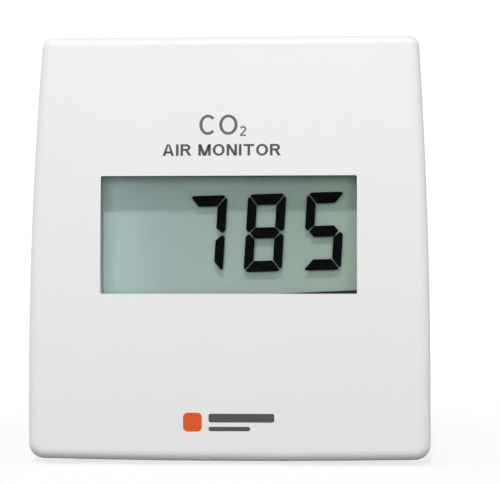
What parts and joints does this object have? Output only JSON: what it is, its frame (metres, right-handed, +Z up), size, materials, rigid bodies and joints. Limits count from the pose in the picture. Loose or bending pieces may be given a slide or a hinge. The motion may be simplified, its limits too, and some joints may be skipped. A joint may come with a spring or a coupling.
{
  "type": "carbon dioxide monitor",
  "caption": "Wall-mounted carbon dioxide transmitter with a segment display, a cover that swings open over its terminals, and an infrared gas sensor.",
  "frame": {"origin": "centre of the back plate's face, on the wall", "axes": "+X to the viewer's right, +Y into the wall, +Z up; the display looks along -Y"},
  "size_m": [0.085, 0.0281, 0.09],
  "materials": {
    "housing": "fine moulded texture",
    "board_green": "solder mask",
    "steel_screw": "zinc plated",
    "terminal_plastic": "moulded",
    "tinned_brass": "tin plated",
    "black_plastic": "moulded",
    "clear_window": "polished, clear",
    "adhesive_tape": "double-sided tape",
    "foam": "open foam",
    "display_film": "polarising film",
    "display_glass": "clear",
    "display_segments": "dark, as lit",
    "holder_plastic": "moulded",
    "contact_rubber": "layered conductive rubber",
    "chamber_plastic": "moulded, gold plated inside",
    "membrane": "porous membrane",
    "bright_metal": "nickel plated",
    "switch_plastic": "moulded",
    "slider_plastic": "moulded",
    "trimmer_plastic": "moulded",
    "trimmer_metal": "machined",
    "capacitor_can": "sleeved foot",
    "ferrite": "ferrite",
    "resistor_ceramic": "glazed ceramic",
    "capacitor_ceramic": "ceramic"
  },
  "bodies": {
    "base": {"back_plate": "housing", "terminal_board": "board_green", "terminal_board_screws": "steel_screw", "terminal_housing": "terminal_plastic", "terminal_contacts": "tinned_brass", "header_strip": "black_plastic", "header_pins": "tinned_brass"},
    "cover": {"front_cover": "housing", "main_board": "board_green", "co2_sensor_board": "board_green", "main_board_screws": "steel_screw", "sensor_pins": "tinned_brass", "header_socket": "black_plastic", "sensor_spacers": "black_plastic", "microcontroller": "black_plastic", "interface_chips": "black_plastic", "voltage_regulator": "black_plastic", "protection_diodes": "black_plastic", "button_body": "black_plastic", "display_window": "clear_window", "window_tape": "adhesive_tape", "display_gasket": "foam", "lcd_front_polariser": "display_film", "lcd_reflector": "display_film", "lcd_front_glass": "display_glass", "lcd_rear_glass": "display_glass", "lcd_segments": "display_segments", "lcd_holder": "holder_plastic", "zebra_strips": "contact_rubber", "chamber_base": "chamber_plastic", "chamber_lid": "chamber_plastic", "dust_filter": "membrane", "infrared_lamp": "bright_metal", "infrared_detector": "bright_metal", "crystal": "bright_metal", "dip_switch_body": "switch_plastic", "trimmer_body": "trimmer_plastic", "bulk_capacitors": "capacitor_can", "power_inductor": "ferrite", "chip_resistors": "resistor_ceramic", "chip_capacitors": "capacitor_ceramic"},
    "zero_button": {"zero_button": "black_plastic"},
    "trimmer_rotor": {"trimmer_rotor": "trimmer_metal"},
    "dip_slider_1": {"dip_slider_1": "slider_plastic"},
    "dip_slider_2": {"dip_slider_2": "slider_plastic"},
    "dip_slider_3": {"dip_slider_3": "slider_plastic"},
    "dip_slider_4": {"dip_slider_4": "slider_plastic"},
    "terminal_screw_1": {"terminal_screw_1": "steel_screw"},
    "terminal_screw_2": {"terminal_screw_2": "steel_screw"},
    "terminal_screw_3": {"terminal_screw_3": "steel_screw"},
    "terminal_screw_4": {"terminal_screw_4": "steel_screw"},
    "terminal_screw_5": {"terminal_screw_5": "steel_screw"},
    "terminal_clamp_1": {"terminal_clamp_1": "tinned_brass"},
    "terminal_clamp_2": {"terminal_clamp_2": "tinned_brass"},
    "terminal_clamp_3": {"terminal_clamp_3": "tinned_brass"},
    "terminal_clamp_4": {"terminal_clamp_4": "tinned_brass"},
    "terminal_clamp_5": {"terminal_clamp_5": "tinned_brass"}
  },
  "joints": [
    {"name": "cover_swing", "type": "hinge", "parent": "base", "child": "cover", "pos_m": [0, -0.007, 0.044], "axis": [-1, 0, 0], "range_deg": [0, 75]},
    {"name": "zero_button_press", "type": "slide", "parent": "cover", "child": "zero_button", "axis": [0, -1, 0], "range_m": [0, 0.00025], "stiffness_N_per_m": 6400},
    {"name": "trimmer_turn", "type": "hinge", "parent": "cover", "child": "trimmer_rotor", "pos_m": [-0.027, -0.0135, -0.0205], "axis": [0, 1, 0], "range_deg": [-130, 130]},
    {"name": "dip_slide_1", "type": "slide", "parent": "cover", "child": "dip_slider_1", "axis": [0, 0, 1], "range_m": [0, 0.0018]},
    {"name": "dip_slide_2", "type": "slide", "parent": "cover", "child": "dip_slider_2", "axis": [0, 0, -1], "range_m": [0, 0.0018]},
    {"name": "dip_slide_3", "type": "slide", "parent": "cover", "child": "dip_slider_3", "axis": [0, 0, 1], "range_m": [0, 0.0018]},
    {"name": "dip_slide_4", "type": "slide", "parent": "cover", "child": "dip_slider_4", "axis": [0, 0, -1], "range_m": [0, 0.0018]},
    {"name": "terminal_screw_turn_1", "type": "hinge", "parent": "base", "child": "terminal_screw_1", "pos_m": [-0.01016, -0.0135, -0.0186], "axis": [0, 1, 0], "range_deg": [0, 1440]},
    {"name": "terminal_clamp_lift_1", "type": "slide", "parent": "base", "child": "terminal_clamp_1", "axis": [0, -1, 0], "range_m": [0, 0.0018]},
    {"name": "terminal_screw_turn_2", "type": "hinge", "parent": "base", "child": "terminal_screw_2", "pos_m": [-0.00508, -0.0135, -0.0186], "axis": [0, 1, 0], "range_deg": [0, 1440]},
    {"name": "terminal_clamp_lift_2", "type": "slide", "parent": "base", "child": "terminal_clamp_2", "axis": [0, -1, 0], "range_m": [0, 0.0018]},
    {"name": "terminal_screw_turn_3", "type": "hinge", "parent": "base", "child": "terminal_screw_3", "pos_m": [0, -0.0135, -0.0186], "axis": [0, 1, 0], "range_deg": [0, 1440]},
    {"name": "terminal_clamp_lift_3", "type": "slide", "parent": "base", "child": "terminal_clamp_3", "axis": [0, -1, 0], "range_m": [0, 0.0018]},
    {"name": "terminal_screw_turn_4", "type": "hinge", "parent": "base", "child": "terminal_screw_4", "pos_m": [0.00508, -0.0135, -0.0186], "axis": [0, 1, 0], "range_deg": [0, 1440]},
    {"name": "terminal_clamp_lift_4", "type": "slide", "parent": "base", "child": "terminal_clamp_4", "axis": [0, -1, 0], "range_m": [0, 0.0018]},
    {"name": "terminal_screw_turn_5", "type": "hinge", "parent": "base", "child": "terminal_screw_5", "pos_m": [0.01016, -0.0135, -0.0186], "axis": [0, 1, 0], "range_deg": [0, 1440]},
    {"name": "terminal_clamp_lift_5", "type": "slide", "parent": "base", "child": "terminal_clamp_5", "axis": [0, -1, 0], "range_m": [0, 0.0018]}
  ],
  "couplings": [
    {"joint": "terminal_screw_turn_1", "follows": "terminal_clamp_lift_1", "rad_per_m": 13963},
    {"joint": "terminal_screw_turn_2", "follows": "terminal_clamp_lift_2", "rad_per_m": 13963},
    {"joint": "terminal_screw_turn_3", "follows": "terminal_clamp_lift_3", "rad_per_m": 13963},
    {"joint": "terminal_screw_turn_4", "follows": "terminal_clamp_lift_4", "rad_per_m": 13963},
    {"joint": "terminal_screw_turn_5", "follows": "terminal_clamp_lift_5", "rad_per_m": 13963}
  ]
}
